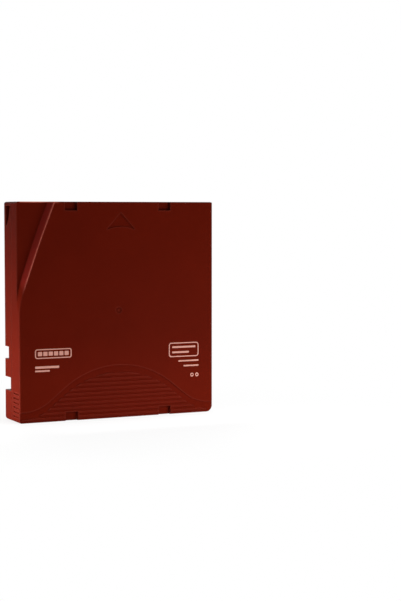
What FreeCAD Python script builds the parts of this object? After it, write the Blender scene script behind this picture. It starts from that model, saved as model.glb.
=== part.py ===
"""Half-inch data tape cartridge, standing on its rear (label) edge.

X runs across the width, Y through the thickness and Z from the rear edge up to the front edge.
The large upper face looks towards -Y and the drive's side, with the reel hub, looks towards +Y.
The origin is under the middle of the cartridge, on the surface that it stands on.
"""
import FreeCAD
import Part
import math
import os

# ---------------------------------------------------------------- case
case_width = 102.0
case_depth = 105.4
case_thickness = 21.5
seam_height = 9.6
wall = 1.8
skin = 1.8
inner_corner_radius = 0.3
rear_right_radius = 3.2
small_corner_radius = 1.0
long_edge_radius = 0.6
rear_bottom_radius = 3.0
front_bottom_chamfer = 1.2
seam_groove_width = 0.4
seam_groove_depth = 0.35

# ---------------------------------------------------------------- insertion guide recess
guide_depth = 3.5
guide_wall = 1.3
guide_end_z = 50.1
guide_wall_rise = 5.3
guide_turn_radius = 40.0
guide_turn_angle = 18.2
guide_sweep_radius = 600.0
guide_bevel_width = 0.35

# ---------------------------------------------------------------- marks and notches in the large face
notch_offset = 24.6
notch_width = 6.4
notch_height = 4.2
notch_depth = 2.0
notch_wall = 1.2
arrow_middle_x = 1.3
arrow_apex_drop = 5.2
arrow_height = 8.3
arrow_width = 14.9
arrow_hollow = 1.5
arrow_sink = 0.5
gate_radius = 1.5
gate_sink = 0.3
gate_nub_radius = 0.6
gate_nub_drop = 0.12

# ---------------------------------------------------------------- grip recess and its ridges
grip_peak_z = 25.8
grip_top_radius = 45.0
grip_slope_angle = 38.5
grip_slope_length = 10.0
grip_flare_radius = 22.0
grip_sink = 0.45
ridge_pitch = 2.2
ridge_count = 10
ridge_first_drop = 4.3
ridge_base = 1.6
ridge_crest = 0.9
ridge_margin = 3.4
side_groove_count = 6
side_groove_width = 0.8
side_groove_depth = 0.45
side_groove_top_gap = 1.0
side_groove_length = 8.2

# ---------------------------------------------------------------- notches and pocket in the lower side walls
small_notch_z = 29.6
small_notch_length = 6.0
small_notch_height = 5.8
small_notch_reach = 3.6
large_notch_z = 14.4
large_notch_length = 6.5
large_notch_height = 8.5
large_notch_reach = 4.6
side_notch_wall = 1.0
pocket_drop = 1.9
pocket_length = 7.4
pocket_slope = 3.0
pocket_low = 2.6
pocket_high = 9.3
pocket_reach = 2.6

# ---------------------------------------------------------------- rear face
label_left_inset = 29.0
label_right_inset = 21.0
label_sink = 0.35
switch_window_inset = 11.0
switch_window_length = 10.0
switch_window_height = 5.2
switch_window_gap = 1.05
switch_travel = 4.8
switch_clearance = 0.2
switch_plate_length = 9.0
switch_plate_thickness = 1.4
switch_button_inset = 0.5
switch_rail_thickness = 1.0
switch_rail_length = 22.0
switch_rail_margin = 5.0
switch_plate_overlap = 2.5

# ---------------------------------------------------------------- screws and register holes
screw_left_inset = 6.5
screw_rear_left_rise = 6.5
screw_rear_right_inset = 16.0
screw_rear_right_rise = 5.8
screw_front_left_drop = 6.9
screw_front_right_inset = 18.0
screw_front_right_drop = 5.4
screw_head_radius = 2.3
screw_head_height = 1.6
screw_head_inset = 0.6
screw_shank_radius = 1.2
screw_hole_gap = 0.15
screw_length = 12.0
screw_pilot_gap = 0.05
screw_pilot_extra = 0.8
screw_slot_length = 2.8
screw_slot_width = 0.6
screw_slot_depth = 0.9
boss_wall = 1.85
head_gap = 0.3
register_left_inset = 16.5
register_left_drop = 6.6
register_right_inset = 25.5
register_right_drop = 5.8
register_radius = 2.5
register_depth = 3.4
register_wall = 1.2

# ---------------------------------------------------------------- reel
reel_side_gap = 1.7
reel_seat_gap = 0.3
reel_rim_height = 0.85
reel_rim_width = 2.2
flange_thickness = 0.9
flange_lip = 3.3
hub_radius = 22.0
hub_wall = 2.4
web_thickness = 1.8
drive_hole_inset = 0.8
hub_hole_gap = 0.6
drive_ring_width = 3.0
drive_ring_height = 1.2
drive_tooth_count = 60
drive_tooth_height = 1.1
tooth_margin = 0.2
tooth_sink_share = 0.2
tooth_share = 0.34
tooth_tip_share = 0.45
plate_thickness = 0.6
plate_bore_radius = 5.0
plate_gap = 0.4
window_count = 3
guard_gap = 0.9
guard_thickness = 1.0
guard_angles = [(123.0, 150.0), (212.0, 240.0), (300.0, 328.0)]
guard_seam_gap = 0.4

# ---------------------------------------------------------------- tape
tape_width = 12.65
tape_side_gap = 0.2
tape_hub_gap = 0.05
leader_thickness = 0.25
leader_gap = 0.3
clamp_middle_angle = 90.0
clamp_angle = 22.0
clamp_depth = 1.4
clamp_gap = 0.05

# ---------------------------------------------------------------- brake
brake_lift = 1.6
brake_tooth_count = 36
brake_tooth_height = 1.1
brake_tooth_length = 3.6
brake_tooth_side_gap = 1.6
brake_tip_gap = 0.3
brake_side_gap = 2.2
brake_disc_thickness = 2.0
brake_boss_radius = 7.0
brake_boss_height = 6.1
brake_socket_roof = 0.4
key_length = 9.0
key_width = 2.4
key_gap = 0.25
key_end_gap = 0.4
spider_side_gap = 1.0
spider_ring_width = 4.4
spider_thickness = 1.1
spider_leg_width = 2.4
spider_leg_reach = 1.6
spider_leg_inset = 0.3
spider_gap = 0.35
brake_coil_radius = 9.5
brake_wire_radius = 0.45
brake_coil_turns = 5
coil_steps = 16
wire_sides = 6
spring_cup_gap = 0.45
spring_cup_wall = 1.0
spring_cup_height = 1.2

# ---------------------------------------------------------------- door and leader pin
door_window_top = 2.9
door_window_length = 17.0
door_window_margin = 1.95
door_thickness = 1.2
door_gap = 0.1
door_end_gap = 0.3
door_overlap = 2.5
door_travel = 18.0
door_groove_depth = 0.6
door_groove_gap = 0.2
door_grip_count = 3
door_grip_pitch = 1.4
door_grip_width = 0.7
door_grip_depth = 0.35
door_coil_radius = 1.0
door_wire_radius = 0.15
door_coil_turns = 8
door_spring_length = 22.0
door_stop_thickness = 1.4
door_stop_width = 1.8
door_stop_half_height = 1.5
pin_side_inset = 8.0
pin_front_inset = 7.9
pin_radius = 1.35
pin_head_radius = 2.3
pin_head_thickness = 1.2
pin_end_gap = 0.35
clip_wall = 0.8
clip_gap = 0.02
clip_slot = 0.3
clip_side_gap = 0.25
seat_gap = 0.3
seat_wall = 0.9
seat_height = 1.4
leaf_thickness = 0.25
leaf_width = 1.1
leaf_length = 11.5
leaf_gap = 0.2
leaf_post = 2.0
leaf_post_width = 1.2

# ---------------------------------------------------------------- memory board
board_corner_inset = 6.6
board_length = 10.6
board_height = 13.6
board_thickness = 0.8
board_lift = 0.6
board_slot_gap = 0.05
board_seat_length = 8.4
board_seat_width = 3.0
board_seat_height = 2.4
chip_size = 2.6
chip_thickness = 0.5
antenna_length = 9.0
antenna_height = 9.6
antenna_gap = 0.25
antenna_track = 0.8
antenna_thickness = 0.1

# ---------------------------------------------------------------- places that follow from the sizes
half_width = case_width / 2
half_thickness = case_thickness / 2
y_top = -half_thickness
y_bottom = half_thickness
y_seam = y_bottom - seam_height
y_top_inner = y_top + skin
y_bottom_inner = y_bottom - skin
x_inner = half_width - wall
reel_z = case_depth / 2
beyond = 5.0

flange_radius = min(x_inner, reel_z - wall) - reel_side_gap
tape_outer_radius = flange_radius - flange_lip
hub_bore_radius = hub_radius - hub_wall
drive_hole_radius = hub_bore_radius - drive_hole_inset
rim_y = y_bottom_inner - reel_rim_height
low_flange_outer = rim_y - reel_seat_gap
low_flange_inner = low_flange_outer - flange_thickness
tape_y1 = low_flange_inner - tape_side_gap
tape_y0 = tape_y1 - tape_width
up_flange_inner = tape_y0 - tape_side_gap
up_flange_outer = up_flange_inner - flange_thickness
web_top = low_flange_outer - web_thickness
drive_ring_outer = drive_hole_radius - hub_hole_gap
drive_ring_inner = drive_ring_outer - drive_ring_width
drive_ring_y = low_flange_outer + drive_ring_height
drive_tooth_tip = drive_ring_y + drive_tooth_height

spider_outer = hub_bore_radius - spider_side_gap
spider_inner = spider_outer - spider_ring_width
spider_leg_radius = drive_ring_outer - spider_leg_reach
brake_disc_radius = hub_bore_radius - brake_side_gap
brake_tooth_outer = spider_inner - brake_tooth_side_gap
brake_tooth_inner = brake_tooth_outer - brake_tooth_length
brake_low = web_top - brake_tooth_height - brake_tip_gap
brake_top = brake_low - brake_disc_thickness
brake_boss_top = brake_top - brake_boss_height
socket_floor = brake_top - brake_socket_roof
key_end = socket_floor - brake_lift - key_end_gap

door_x1 = x_inner - door_gap
door_x0 = door_x1 - door_thickness
door_z1 = case_depth - wall - door_end_gap
window_z1 = case_depth - door_window_top
window_z0 = window_z1 - door_window_length
door_z0 = window_z0 - door_overlap
window_half = half_thickness - door_window_margin
groove_half = half_thickness - skin + door_groove_depth
door_half = groove_half - door_groove_gap
door_coil_x = door_x1 - door_coil_radius - door_wire_radius
door_stop_z = door_z0 - door_spring_length

screw_places = [(screw_left_inset - half_width, screw_rear_left_rise),
                (half_width - screw_rear_right_inset, screw_rear_right_rise),
                (screw_left_inset - half_width, case_depth - screw_front_left_drop),
                (half_width - screw_front_right_inset, case_depth - screw_front_right_drop)]
register_places = [(register_left_inset - half_width, case_depth - register_left_drop),
                   (half_width - register_right_inset, case_depth - register_right_drop)]
label_x0 = label_left_inset - half_width
label_x1 = half_width - label_right_inset
switch_window_x0 = switch_window_inset - half_width
board_x = half_width - board_corner_inset
board_z = board_corner_inset

pin_x = half_width - pin_side_inset
pin_z = case_depth - pin_front_inset
pin_half_length = half_thickness - skin - pin_end_gap
clip_outer = pin_radius + clip_wall
guide_floor = y_top + guide_depth


# ---------------------------------------------------------------- shape helpers
def vec(x, y, z):
    return FreeCAD.Vector(x, y, z)


def box(x0, x1, y0, y1, z0, z1):
    return Part.makeBox(x1 - x0, y1 - y0, z1 - z0, vec(x0, y0, z0))


def disc(radius, y0, y1, x=0.0, z=reel_z):
    """Round plate with its axis along Y."""
    return Part.makeCylinder(radius, y1 - y0, vec(x, y0, z), vec(0, 1, 0))


def ring(outer, inner, y0, y1, x=0.0, z=reel_z):
    return disc(outer, y0, y1, x, z).cut(disc(inner, y0, y1, x, z))


def fuse(first, others):
    return first.multiFuse(list(others)).removeSplitter()


def cut(first, others):
    for other in others:
        first = first.cut(other)
    return first


def rounded_edges(corners, place):
    """Edges round a polygon of (a, b, radius) corners; place turns (a, b) into a point."""
    starts = []
    mids = []
    ends = []
    count = len(corners)
    for index in range(count):
        a, b, radius = corners[index]
        before = corners[index - 1]
        after = corners[(index + 1) % count]
        here = FreeCAD.Vector(a, b, 0)
        to_before = (FreeCAD.Vector(before[0], before[1], 0) - here).normalize()
        to_after = (FreeCAD.Vector(after[0], after[1], 0) - here).normalize()
        half = to_before.getAngle(to_after) / 2
        reach = radius / math.tan(half)
        middle = (to_before + to_after).normalize()
        starts.append(here + to_before * reach)
        ends.append(here + to_after * reach)
        mids.append(here + middle * (radius / math.sin(half) - radius))
    edges = []
    for index in range(count):
        if corners[index][2] > 0:
            points = [place(p.x, p.y) for p in (starts[index], mids[index], ends[index])]
            edges.append(Part.Arc(*points).toShape())
        following = (index + 1) % count
        edges.append(Part.makeLine(place(ends[index].x, ends[index].y),
                                   place(starts[following].x, starts[following].y)))
    return edges


def plan_prism(corners, y0, y1):
    """Prism over an outline given in X and Z, from y0 to y1."""
    edges = rounded_edges(corners, lambda a, b: vec(a, y0, b))
    return Part.Face(Part.Wire(edges)).extrude(vec(0, y1 - y0, 0))


def side_prism(corners, x0, x1):
    """Prism over an outline given in Y and Z, from x0 to x1."""
    edges = rounded_edges(corners, lambda a, b: vec(x0, a, b))
    return Part.Face(Part.Wire(edges)).extrude(vec(x1 - x0, 0, 0))


def end_prism(corners, z0, z1):
    """Prism over an outline given in X and Y, from z0 to z1."""
    edges = rounded_edges(corners, lambda a, b: vec(a, b, z0))
    return Part.Face(Part.Wire(edges)).extrude(vec(0, 0, z1 - z0))


def curve_prism(edges, y0, y1):
    """Prism over a closed run of edges drawn in the plane y = y0."""
    return Part.Face(Part.Wire(edges)).extrude(vec(0, y1 - y0, 0))


def wedge(angle0, angle1, reach, y0, y1):
    """Slice of the reel's circle between two angles, in degrees from +X towards +Z."""
    points = [vec(0, y0, reel_z)]
    for angle in (angle0, (angle0 + angle1) / 2, angle1):
        turn = math.radians(angle)
        points.append(vec(reach * math.cos(turn), y0, reel_z + reach * math.sin(turn)))
    points.append(points[0])
    return Part.Face(Part.makePolygon(points)).extrude(vec(0, y1 - y0, 0))


def sector(outer, inner, angle0, angle1, y0, y1):
    return ring(outer, inner, y0, y1).common(wedge(angle0, angle1, 2 * outer, y0, y1))


def turned(shape, angle):
    """Copy of a shape turned about the reel's axis, from +X towards +Z."""
    copy = shape.copy()
    copy.rotate(vec(0, 0, reel_z), vec(0, 1, 0), -angle)
    return copy


def tooth(inner, outer, y_root, y_tip, count):
    """One tooth at angle 0, narrower at its tip and at its inner end."""
    wires = []
    for level, share in ((y_root, tooth_share), (y_tip, tooth_share * tooth_tip_share)):
        half_inner = math.pi * inner / count * share
        half_outer = math.pi * outer / count * share
        points = [vec(inner, level, reel_z - half_inner), vec(outer, level, reel_z - half_outer),
                  vec(outer, level, reel_z + half_outer), vec(inner, level, reel_z + half_inner)]
        wires.append(Part.makePolygon(points + points[:1]))
    return Part.makeLoft(wires, True, True)


def crown(inner, outer, y_root, y_tip, count, phase=0.0):
    """All the teeth of a ring, with their roots sunk a little into what carries them."""
    sink = (y_root - y_tip) * tooth_sink_share
    single = tooth(inner, outer, y_root + sink, y_tip, count)
    return [turned(single, 360.0 / count * (index + phase)) for index in range(count)]


def coil(mean_radius, wire_radius, length, turns):
    """Coil spring along +Z, standing on z = 0, made of short straight lengths of wire."""
    rise = length - 2 * wire_radius
    rings = []
    for step in range(turns * coil_steps + 1):
        turn = 2 * math.pi * step / coil_steps
        middle = wire_radius + rise * step / (turns * coil_steps)
        points = []
        for side in range(wire_sides):
            angle = 2 * math.pi * side / wire_sides
            reach = mean_radius + wire_radius * math.cos(angle)
            points.append(vec(reach * math.cos(turn), reach * math.sin(turn),
                              middle + wire_radius * math.sin(angle)))
        rings.append(points)
    faces = [flat_face(rings[0]), flat_face(rings[-1])]
    for low, high in zip(rings, rings[1:]):
        for side in range(wire_sides):
            after = (side + 1) % wire_sides
            faces.append(flat_face([low[side], low[after], high[side]]))
            faces.append(flat_face([low[after], high[after], high[side]]))
    spring = Part.Solid(Part.Shell(faces))
    return spring if spring.Volume > 0 else spring.reversed()


def flat_face(points):
    return Part.Face(Part.makePolygon(points + points[:1]))


# ---------------------------------------------------------------- outline of the case
def case_block(y0, y1):
    """The closed case between two levels, with its corners and long edges rounded."""
    plan = [(-half_width, 0, small_corner_radius), (half_width, 0, rear_right_radius),
            (half_width, case_depth, small_corner_radius), (-half_width, case_depth, small_corner_radius)]
    side = [(y_top, 0, long_edge_radius), (y_bottom, 0, rear_bottom_radius),
            (y_bottom, case_depth - front_bottom_chamfer, 0),
            (y_bottom - front_bottom_chamfer, case_depth, 0), (y_top, case_depth, long_edge_radius)]
    end = [(-half_width, y_top, long_edge_radius), (half_width, y_top, long_edge_radius),
           (half_width, y_bottom, long_edge_radius), (-half_width, y_bottom, long_edge_radius)]
    block = plan_prism(plan, y_top, y_bottom)
    block = block.common(side_prism(side, -half_width, half_width))
    block = block.common(end_prism(end, 0, case_depth))
    return block.common(box(-half_width, half_width, y0, y1, 0, case_depth))


def seam_groove():
    """Ring of air that leaves the fine line between the two shells."""
    y0 = y_seam - seam_groove_width / 2
    y1 = y_seam + seam_groove_width / 2
    outer = box(-half_width - beyond, half_width + beyond, y0, y1, -beyond, case_depth + beyond)
    inset = seam_groove_depth
    inner = plan_prism([(-half_width + inset, inset, small_corner_radius),
                        (half_width - inset, inset, rear_right_radius),
                        (half_width - inset, case_depth - inset, small_corner_radius),
                        (-half_width + inset, case_depth - inset, small_corner_radius)], y0, y1)
    return outer.cut(inner)


def cavity(y0, y1):
    corners = [(-x_inner, wall), (x_inner, wall), (x_inner, case_depth - wall), (-x_inner, case_depth - wall)]
    return plan_prism([(x, z, inner_corner_radius) for x, z in corners], y0, y1)


def mirrored_pair(shape):
    return [shape, shape.mirror(vec(0, 0, 0), vec(1, 0, 0))]


# ---------------------------------------------------------------- insertion guide
def guide_end(level):
    """Where the recess edge meets the side; it rises with depth, which slants the recess wall."""
    return guide_end_z + guide_wall_rise * (level - y_top) / guide_depth


def guide_curve(offset, level, end_z):
    """Two arcs along the recess edge, moved towards the middle of the face by offset."""
    turn = math.radians(guide_turn_angle)
    start_x = -half_width
    bend_x = start_x + guide_turn_radius * (1 - math.cos(turn))
    bend_z = end_z + guide_turn_radius * math.sin(turn)
    top_sine = math.sin(turn) + (case_depth - bend_z) / guide_sweep_radius
    top_turn = math.asin(top_sine)

    def on_turn(angle):
        radius = guide_turn_radius - offset
        return vec(start_x + guide_turn_radius - radius * math.cos(angle), level,
                   end_z + radius * math.sin(angle))

    def on_sweep(angle):
        radius = guide_sweep_radius - offset
        return vec(bend_x + guide_sweep_radius * math.cos(turn) - radius * math.cos(angle), level,
                   bend_z - guide_sweep_radius * math.sin(turn) + radius * math.sin(angle))

    low = Part.Arc(on_turn(0), on_turn(turn / 2), on_turn(turn)).toShape()
    high = Part.Arc(on_sweep(turn), on_sweep((turn + top_turn) / 2), on_sweep(top_turn)).toShape()
    return low, high, on_turn(0), on_sweep(top_turn)


def guide_outline(offset, level, end_z):
    """Closed run of edges round the corner beyond the guide curve, past the case's edges."""
    low, high, foot, head = guide_curve(offset, level, end_z)
    above = case_depth + beyond
    aside = -half_width - beyond
    return [low, high, Part.makeLine(head, vec(head.x, level, above)),
            Part.makeLine(vec(head.x, level, above), vec(aside, level, above)),
            Part.makeLine(vec(aside, level, above), vec(aside, level, foot.z)),
            Part.makeLine(vec(aside, level, foot.z), foot)]


def guide_recess():
    """The corner that is cut away beyond the guide curve, with the slant of its wall."""
    wires = [Part.Wire(guide_outline(0.0, level, guide_end(level))) for level in (y_top, guide_floor)]
    return Part.makeLoft(wires, True, True)


def guide_backing():
    """Room that the cavity leaves for the recess wall and floor."""
    y0 = y_top_inner - beyond
    edges = guide_outline(guide_wall, y0, guide_end_z)
    return curve_prism(edges, y0, guide_floor + guide_wall)


def guide_bevel():
    """Slanted cut that softens the long edge where the large face drops into the recess."""
    low_level = y_top + guide_bevel_width
    high = Part.Wire(guide_outline(guide_bevel_width, y_top, guide_end(low_level)))
    low = Part.Wire(guide_outline(0.0, low_level, guide_end(low_level)))
    return Part.makeLoft([high, low], True, True)


# ---------------------------------------------------------------- grip recess
def grip_edges(drop, level):
    """Bell-shaped outline: round top, two straight slopes and two flares, closed past the rear edge."""
    slope = math.radians(grip_slope_angle)
    peak = grip_peak_z - drop
    side_x = grip_top_radius * math.sin(slope)
    side_z = peak - grip_top_radius * (1 - math.cos(slope))
    end_x = side_x + grip_slope_length * math.cos(slope)
    end_z = side_z - grip_slope_length * math.sin(slope)
    foot_x = end_x + grip_flare_radius * math.sin(slope)
    foot_z = end_z - grip_flare_radius * (1 - math.cos(slope))
    half = slope / 2
    flare_x = foot_x - grip_flare_radius * math.sin(half)
    flare_z = foot_z + grip_flare_radius * (1 - math.cos(half))
    top = Part.Arc(vec(-side_x, level, side_z), vec(0, level, peak), vec(side_x, level, side_z))
    flare = Part.Arc(vec(end_x, level, end_z), vec(flare_x, level, flare_z), vec(foot_x, level, foot_z))
    edges = [top.toShape(), Part.makeLine(vec(side_x, level, side_z), vec(end_x, level, end_z)),
             flare.toShape()]
    aside = half_width + beyond
    corners = [(foot_x, foot_z), (aside, foot_z), (aside, -beyond), (-aside, -beyond), (-aside, foot_z),
               (-foot_x, foot_z)]
    for first, second in zip(corners, corners[1:]):
        edges.append(Part.makeLine(vec(first[0], level, first[1]), vec(second[0], level, second[1])))
    edges.append(Part.Arc(vec(-foot_x, level, foot_z), vec(-flare_x, level, flare_z),
                          vec(-end_x, level, end_z)).toShape())
    edges.append(Part.makeLine(vec(-end_x, level, end_z), vec(-side_x, level, side_z)))
    return edges


def grip_recess():
    return curve_prism(grip_edges(0.0, y_top - beyond), y_top - beyond, y_top + grip_sink)


def grip_ridges():
    """Horizontal ridges that fill the inside of the bell, flush with the face round it."""
    root = y_top + grip_sink
    buried = root + skin / 2
    inside = curve_prism(grip_edges(ridge_margin, y_top - beyond), y_top - beyond, buried)
    half_base = ridge_base / 2
    half_crest = ridge_crest / 2
    ridges = []
    for index in range(ridge_count):
        middle = grip_peak_z - ridge_first_drop - index * ridge_pitch
        profile = [(buried, middle - half_base, 0), (root, middle - half_base, 0),
                   (y_top, middle - half_crest, 0), (y_top, middle + half_crest, 0),
                   (root, middle + half_base, 0), (buried, middle + half_base, 0)]
        bar = side_prism(profile, -half_width + small_corner_radius, half_width - rear_right_radius)
        ridges.append(bar.common(inside))
    return ridges


def side_grooves():
    """Finger grooves in the two side walls, level with the lowest gaps between the ridges."""
    y0 = y_top + side_groove_top_gap
    y1 = y0 + side_groove_length
    lowest = grip_peak_z - ridge_first_drop - (ridge_count - 1.5) * ridge_pitch
    grooves = []
    for index in range(side_groove_count):
        z0 = lowest + index * ridge_pitch - side_groove_width / 2
        groove = box(half_width - side_groove_depth, half_width + beyond, y0, y1, z0, z0 + side_groove_width)
        grooves.extend(mirrored_pair(groove))
    return grooves


# ---------------------------------------------------------------- marks and notches of the large face
def arrowhead():
    """Sunken insertion arrow that points to the front edge, with a hollow base."""
    level = y_top - beyond
    apex_z = case_depth - arrow_apex_drop
    low_z = apex_z - arrow_height
    left = vec(arrow_middle_x - arrow_width / 2, level, low_z)
    right = vec(arrow_middle_x + arrow_width / 2, level, low_z)
    apex = vec(arrow_middle_x, level, apex_z)
    base = Part.Arc(left, vec(arrow_middle_x, level, low_z + arrow_hollow), right).toShape()
    edges = [Part.makeLine(left, apex), Part.makeLine(apex, right), base]
    return curve_prism(edges, level, y_top + arrow_sink)


def edge_notches(extra, depth):
    """The four notches in the front and rear edges; extra grows each one on its closed sides."""
    half = notch_width / 2 + extra
    notches = []
    for middle in (-notch_offset, notch_offset):
        for z0, z1 in ((case_depth - notch_height - extra, case_depth), (0, notch_height + extra)):
            notches.append(box(middle - half, middle + half, y_top, y_top + depth, z0, z1))
    return notches


# ---------------------------------------------------------------- notches and pocket of the lower side walls
def side_notch(z0, length, height, reach, grow):
    """One open notch at the lower edge of the -X wall, or with grow the block that walls it in."""
    return box(-half_width, -half_width + reach + grow, y_bottom - height - grow, y_bottom,
               z0 - grow, z0 + length + grow)


def side_notches(grow):
    notches = []
    sizes = ((small_notch_z, small_notch_length, small_notch_height, small_notch_reach),
             (large_notch_z, large_notch_length, large_notch_height, large_notch_reach))
    for z0, length, height, reach in sizes:
        notches.extend(mirrored_pair(side_notch(z0, length, height, reach, grow)))
    return notches


def corner_pocket(grow):
    """Blind pocket in the front of the -X wall, with a slanted lower end."""
    z1 = case_depth - pocket_drop + grow
    z0 = z1 - pocket_length - 2 * grow
    near = y_bottom - pocket_low + grow
    far = y_bottom - pocket_high - grow
    corners = [(far, z1, 0), (near, z1, 0), (near, z0 - pocket_slope, 0), (far + pocket_slope, z0, 0)]
    return side_prism(corners, -half_width, -half_width + pocket_reach + grow)


# ---------------------------------------------------------------- inner features that both shells share
def guards(y0, y1):
    inner = flange_radius + guard_gap
    return [sector(inner + guard_thickness, inner, first, last, y0, y1) for first, last in guard_angles]


def pin_seat(y0, y1):
    """Open cup that holds one head of the leader pin and lets it out towards +X."""
    inner = pin_head_radius + seat_gap
    outer = inner + seat_wall
    cup = ring(outer, inner, y0, y1, pin_x, pin_z)
    mouth = box(pin_x, pin_x + 2 * outer, y0, y1, pin_z - inner, pin_z + inner)
    return cup.cut(mouth)


def leaf_places():
    x0 = pin_x + pin_head_radius + leaf_gap
    z1 = pin_z + pin_head_radius + leaf_gap
    return x0, z1 - leaf_length, z1


def leaf_post_block(y0, y1):
    """Small post beside the seat that the leaf spring is fixed to."""
    x0, z0, _ = leaf_places()
    return box(x0 + leaf_thickness, x0 + leaf_thickness + leaf_post_width, y0, y1, z0, z0 + leaf_post)


def board_place(shape):
    """Turn a shape drawn about the board's middle into the 45 degree place in the rear corner."""
    copy = shape.copy()
    copy.rotate(vec(0, 0, 0), vec(0, 1, 0), -45)
    copy.translate(vec(board_x, 0, board_z))
    return copy


def at_screws(radius, y0, y1):
    """A round boss or hole at each of the four screws."""
    return [disc(radius, y0, y1, x, z) for x, z in screw_places]


# ---------------------------------------------------------------- upper shell
def upper_shell():
    shell = case_block(y_top, y_seam).cut(guide_recess())
    shell = shell.cut(guide_bevel())
    hollow = cavity(y_top_inner, y_seam)
    hollow = hollow.cut(guide_backing())
    hollow = cut(hollow, edge_notches(notch_wall, notch_depth + notch_wall))
    shell = shell.cut(hollow)
    shell = cut(shell, [seam_groove(), grip_recess(), arrowhead(),
                        disc(gate_radius, y_top - beyond, y_top + gate_sink)])
    nub = disc(gate_nub_radius, y_top + gate_nub_drop, y_top + 2 * gate_sink)
    shell = fuse(shell, grip_ridges() + upper_inner_pieces() + [nub])
    shell = shell.cut(guide_recess())
    shell = cut(shell, edge_notches(0.0, notch_depth) + side_grooves())
    shell = cut(shell, [door_window()] + door_grooves(y_top_inner - door_groove_depth, y_top_inner))
    head = y_seam - screw_upper_reach()
    return cut(shell, at_screws(screw_shank_radius + screw_pilot_gap, head, y_seam))


def screw_upper_reach():
    """How far the pilot holes run into the upper shell from the seam."""
    shank_in_lower = y_bottom - screw_head_inset - screw_head_height - y_seam
    return screw_length - shank_in_lower + screw_pilot_extra


def upper_inner_pieces():
    """Bosses, brake key, spring cup, guards and pin seat that stand on the inside of the large face."""
    root = y_top_inner - skin / 2
    boss_radius = screw_shank_radius + boss_wall
    pieces = at_screws(boss_radius, root, y_seam)
    pieces.extend(key_cross(0.0, root, key_end))
    cup_inner = brake_coil_radius + brake_wire_radius + spring_cup_gap
    pieces.append(ring(cup_inner + spring_cup_wall, cup_inner, root, y_top_inner + spring_cup_height))
    pieces.extend(guards(root, y_seam - guard_seam_gap))
    pieces.append(pin_seat(root, y_top_inner + seat_height))
    pieces.append(leaf_post_block(root, y_top_inner + seat_height))
    return pieces


# ---------------------------------------------------------------- lower shell
def lower_shell():
    shell = case_block(y_seam, y_bottom)
    hollow = cavity(y_seam, y_bottom_inner)
    hollow = cut(hollow, side_notches(side_notch_wall) + [corner_pocket(side_notch_wall)])
    shell = shell.cut(hollow)
    shell = cut(shell, [seam_groove()] + side_notches(0.0) + [corner_pocket(0.0)])
    shell = fuse(shell, lower_inner_pieces())
    shell = cut(shell, [disc(drive_hole_radius, rim_y, y_bottom)])
    shell = cut(shell, [door_window()] + door_grooves(y_bottom_inner, y_bottom_inner + door_groove_depth))
    shell = cut(shell, at_screws(screw_shank_radius + screw_hole_gap, y_seam, y_bottom))
    seat = y_bottom - screw_head_inset - screw_head_height
    shell = cut(shell, at_screws(screw_head_radius + head_gap, seat, y_bottom))
    shell = cut(shell, [disc(register_radius, y_bottom - register_depth, y_bottom, x, z)
                        for x, z in register_places])
    return cut(shell, [switch_window(), label_recess()])


def lower_inner_pieces():
    """Bosses, reel rim, guards, pin seat, door stop, switch rail and board seat on the drive's side."""
    root = y_bottom_inner + skin / 2
    boss_radius = screw_head_radius + head_gap + boss_wall / 2
    pieces = at_screws(boss_radius, y_seam, root)
    pieces.append(ring(drive_hole_radius + reel_rim_width, drive_hole_radius, rim_y, root))
    pieces.extend(guards(y_seam + guard_seam_gap, root))
    pieces.append(pin_seat(y_bottom_inner - seat_height, root))
    pieces.append(leaf_post_block(y_bottom_inner - seat_height, root))
    floor = y_bottom - register_depth - register_wall
    pieces.extend(disc(register_radius + register_wall, floor, root, x, z) for x, z in register_places)
    pieces.append(box(x_inner - door_stop_width, x_inner, -door_stop_half_height, root,
                      door_stop_z - door_stop_thickness, door_stop_z))
    rail_z = wall + 2 * switch_clearance + switch_plate_thickness
    rail_x = switch_window_x0 - switch_rail_margin
    pieces.append(box(rail_x, rail_x + switch_rail_length, y_seam + switch_clearance, root,
                      rail_z, rail_z + switch_rail_thickness))
    pieces.append(board_seat(root))
    return pieces


def board_seat(root):
    """Slotted block in the rear corner that the memory board stands in."""
    low = board_low_edge()
    block = Part.makeBox(board_seat_length, root - (low - board_seat_height), board_seat_width,
                         vec(-board_seat_length / 2, low - board_seat_height, -board_seat_width / 2))
    half_slot = board_thickness / 2 + board_slot_gap
    slot = Part.makeBox(board_length, board_seat_height, 2 * half_slot,
                        vec(-board_length / 2, low - board_seat_height, -half_slot))
    return board_place(block.cut(slot))


def board_low_edge():
    return y_bottom_inner - board_lift


def antenna_middle():
    """Level of the loop's middle, clear of the slot that holds the board."""
    return board_low_edge() - board_seat_height - antenna_gap - antenna_height / 2


def switch_window():
    x0 = switch_window_x0
    y0 = y_seam + switch_window_gap
    return box(x0, x0 + switch_window_length, y0, y0 + switch_window_height, 0, wall)


def label_recess():
    """Bare shallow field in the rear face, for a label."""
    return box(label_x0, label_x1, y_seam, y_bottom - rear_bottom_radius, 0, label_sink)


def door_window():
    return box(x_inner - door_gap, half_width, -window_half, window_half, window_z0, window_z1)


def door_grooves(y0, y1):
    """Track for the door's edge along the inside of the side wall, closed and open positions together."""
    low = door_z0 - door_travel - door_end_gap
    return [box(door_x0 - door_gap, x_inner, y0, y1, low, door_z1 + door_end_gap)]


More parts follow.
